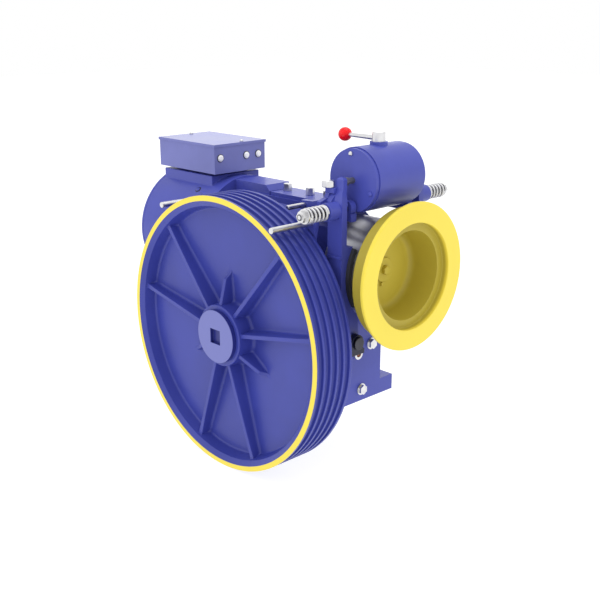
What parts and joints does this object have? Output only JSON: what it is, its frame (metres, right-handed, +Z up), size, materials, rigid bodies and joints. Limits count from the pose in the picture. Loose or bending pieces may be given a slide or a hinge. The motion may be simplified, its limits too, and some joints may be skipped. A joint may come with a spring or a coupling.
{
  "type": "elevator traction machine",
  "caption": "Geared lift machine with a ribbed overhung rope sheave, worm gearbox, motor with terminal box, spring drum brake with release lever and dished flywheel.",
  "frame": {"origin": "middle of the four foot bolts on the plane that the feet stand on", "axes": "+X along the worm shaft towards the flywheel, -Y along the sheave shaft towards the rope sheave, +Z up"},
  "size_m": [0.728, 0.4594, 0.708],
  "materials": {
    "blue_paint": "semi-gloss paint",
    "pale_blue_paint": "semi-gloss paint",
    "yellow_paint": "semi-gloss paint",
    "zinc_steel": "zinc plated",
    "bearing_steel": "ground",
    "drum_iron": "turned",
    "core_iron": "as cast",
    "bronze": "machined",
    "copper": "enamelled wire",
    "black_rubber": "matte",
    "lining": "pressed lining",
    "red_plastic": "gloss",
    "white_plastic": "satin",
    "black_plastic": "moulded",
    "sight_glass": "amber window"
  },
  "bodies": {
    "frame": {"gearbox_housing": "blue_paint", "inspection_cover": "blue_paint", "deck_bolts": "zinc_steel", "oil_sight_ring": "zinc_steel", "oil_sight_glass": "sight_glass", "drain_plug": "zinc_steel", "level_plug": "zinc_steel", "front_bearing_cap": "blue_paint", "rear_bearing_cover": "blue_paint", "bearing_cap_bolts": "zinc_steel", "front_main_bearing": "bearing_steel", "rear_main_bearing": "bearing_steel", "worm_bearings": "bearing_steel", "worm_end_cap": "blue_paint", "shaft_seals": "black_rubber", "motor_adapter": "blue_paint", "adapter_bolts": "zinc_steel", "motor_frame": "blue_paint", "motor_end_shield": "blue_paint", "stator_core": "core_iron", "stator_windings": "copper", "terminal_box": "blue_paint", "terminal_box_lid": "blue_paint", "terminal_block": "black_plastic", "lid_screws": "zinc_steel", "cable_entry_plugs": "white_plastic", "magnet_bracket": "blue_paint", "magnet_body": "blue_paint", "magnet_caps": "blue_paint", "magnet_coils": "copper", "magnet_cap_screws": "zinc_steel", "arm_brackets": "blue_paint", "arm_pivot_pins": "zinc_steel", "tie_rods": "zinc_steel", "tie_rod_nuts": "zinc_steel", "brake_spring_front": "zinc_steel", "brake_spring_rear": "zinc_steel", "guard_rods": "zinc_steel", "guard_brackets": "blue_paint", "guard_nuts": "zinc_steel"},
    "sheave": {"traction_sheave": "blue_paint", "shaft_end_plate": "pale_blue_paint", "main_shaft": "bearing_steel", "shaft_keys": "bearing_steel", "worm_wheel_centre": "core_iron", "worm_wheel_rim": "bronze"},
    "worm": {"worm_shaft": "bearing_steel", "worm_thread": "bearing_steel", "motor_rotor": "core_iron", "brake_drum": "drum_iron", "flywheel": "yellow_paint", "flywheel_fasteners": "zinc_steel"},
    "front_arm": {"brake_arm_front": "blue_paint", "brake_lining_front": "lining"},
    "rear_arm": {"brake_arm_rear": "blue_paint", "brake_lining_rear": "lining"},
    "lever": {"release_lever": "zinc_steel", "lever_ball": "red_plastic"},
    "front_plunger": {"plunger_front": "bearing_steel"},
    "rear_plunger": {"plunger_rear": "bearing_steel"}
  },
  "joints": [
    {"name": "sheave_spin", "type": "hinge", "parent": "frame", "child": "sheave", "pos_m": [0, 0, 0.178], "axis": [0, 1, 0], "continuous": true},
    {"name": "worm_spin", "type": "hinge", "parent": "frame", "child": "worm", "pos_m": [0, 0, 0.322], "axis": [1, 0, 0], "continuous": true},
    {"name": "front_arm_tilt", "type": "hinge", "parent": "frame", "child": "front_arm", "pos_m": [0.218, -0.085, 0.189], "axis": [1, 0, 0], "range_deg": [0, 0.605], "stiffness_Nm_per_rad": 400, "springref_deg": -1.15, "deforming": ["brake_spring_front"]},
    {"name": "rear_arm_tilt", "type": "hinge", "parent": "frame", "child": "rear_arm", "pos_m": [0.218, 0.085, 0.189], "axis": [-1, 0, 0], "range_deg": [0, 0.605], "stiffness_Nm_per_rad": 400, "springref_deg": -1.15, "deforming": ["brake_spring_rear"]},
    {"name": "lever_turn", "type": "hinge", "parent": "frame", "child": "lever", "pos_m": [0.218, 0, 0.508], "axis": [0, 0, 1], "range_deg": [0, 40]},
    {"name": "front_plunger_slide", "type": "slide", "parent": "frame", "child": "front_plunger", "axis": [0, -1, 0], "range_m": [0, 0.0034]},
    {"name": "rear_plunger_slide", "type": "slide", "parent": "frame", "child": "rear_plunger", "axis": [0, 1, 0], "range_m": [0, 0.0034]}
  ],
  "couplings": [
    {"joint": "sheave_spin", "follows": "worm_spin", "ratio": -0.028571},
    {"joint": "front_arm_tilt", "follows": "lever_turn", "ratio": 0.015},
    {"joint": "rear_arm_tilt", "follows": "lever_turn", "ratio": 0.015},
    {"joint": "front_plunger_slide", "follows": "lever_turn", "m_per_rad": 0.004785},
    {"joint": "rear_plunger_slide", "follows": "lever_turn", "m_per_rad": 0.004785}
  ]
}
